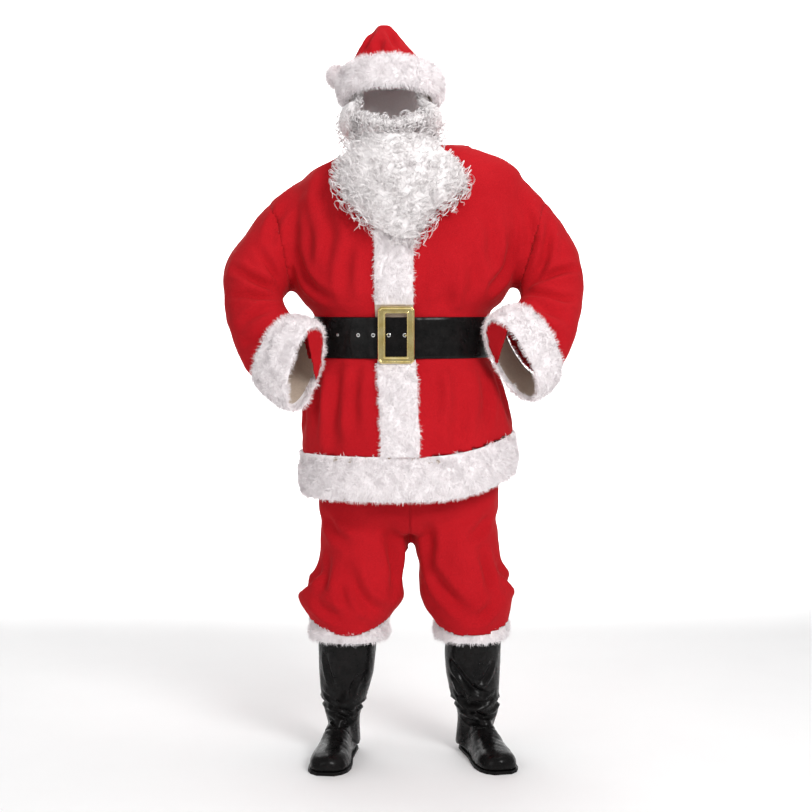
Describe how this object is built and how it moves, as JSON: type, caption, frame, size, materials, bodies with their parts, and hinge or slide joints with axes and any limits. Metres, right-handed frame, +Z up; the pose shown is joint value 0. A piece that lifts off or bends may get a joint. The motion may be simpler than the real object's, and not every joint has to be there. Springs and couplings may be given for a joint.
{
  "type": "santa suit",
  "caption": "Worn red-and-white fur-trimmed costume set: belted jacket, trousers, hat, beard, wig and black boots, standing hollow as on a wearer, hands to the belt.",
  "frame": {"origin": "the middle of the wearer's shoulders, 1.5 m above the soles", "axes": "+Z up; the suit faces -Y, so the wearer's left side is +X"},
  "size_m": [0.913, 0.4616, 1.876],
  "materials": {
    "red_fleece": "short-pile red fleece",
    "white_fur": "white plush fur pile",
    "white_curls": "white curled synthetic hair",
    "black_vinyl": "glossy black vinyl",
    "black_rubber": "satin black rubber",
    "gold": "polished pale gold",
    "steel": "bright plated steel"
  },
  "bodies": {
    "root": {"jacket_front_left": "red_fleece", "jacket_front_right": "red_fleece", "jacket_back": "red_fleece", "sleeve_left": "red_fleece", "sleeve_right": "red_fleece", "trouser_front_left": "red_fleece", "trouser_front_right": "red_fleece", "trouser_back_left": "red_fleece", "trouser_back_right": "red_fleece", "waistband": "red_fleece", "hat_crown": "red_fleece", "fur_hem": "white_fur", "fur_cuff_left": "white_fur", "fur_cuff_right": "white_fur", "fur_placket": "white_fur", "fur_leg_left": "white_fur", "fur_leg_right": "white_fur", "hat_brim": "white_fur", "hat_pompom": "white_fur", "beard": "white_curls", "moustache": "white_curls", "wig": "white_curls", "belt_strap": "black_vinyl", "belt_tip": "black_vinyl", "boot_shaft_left": "black_vinyl", "boot_shaft_right": "black_vinyl", "boot_vamp_left": "black_vinyl", "boot_vamp_right": "black_vinyl", "boot_sole_left": "black_rubber", "boot_sole_right": "black_rubber", "belt_buckle": "gold", "buckle_prong": "gold", "belt_eyelet_1": "steel", "belt_eyelet_2": "steel", "belt_eyelet_3": "steel", "belt_eyelet_4": "steel", "belt_rivet": "steel"}
  },
  "joints": []
}
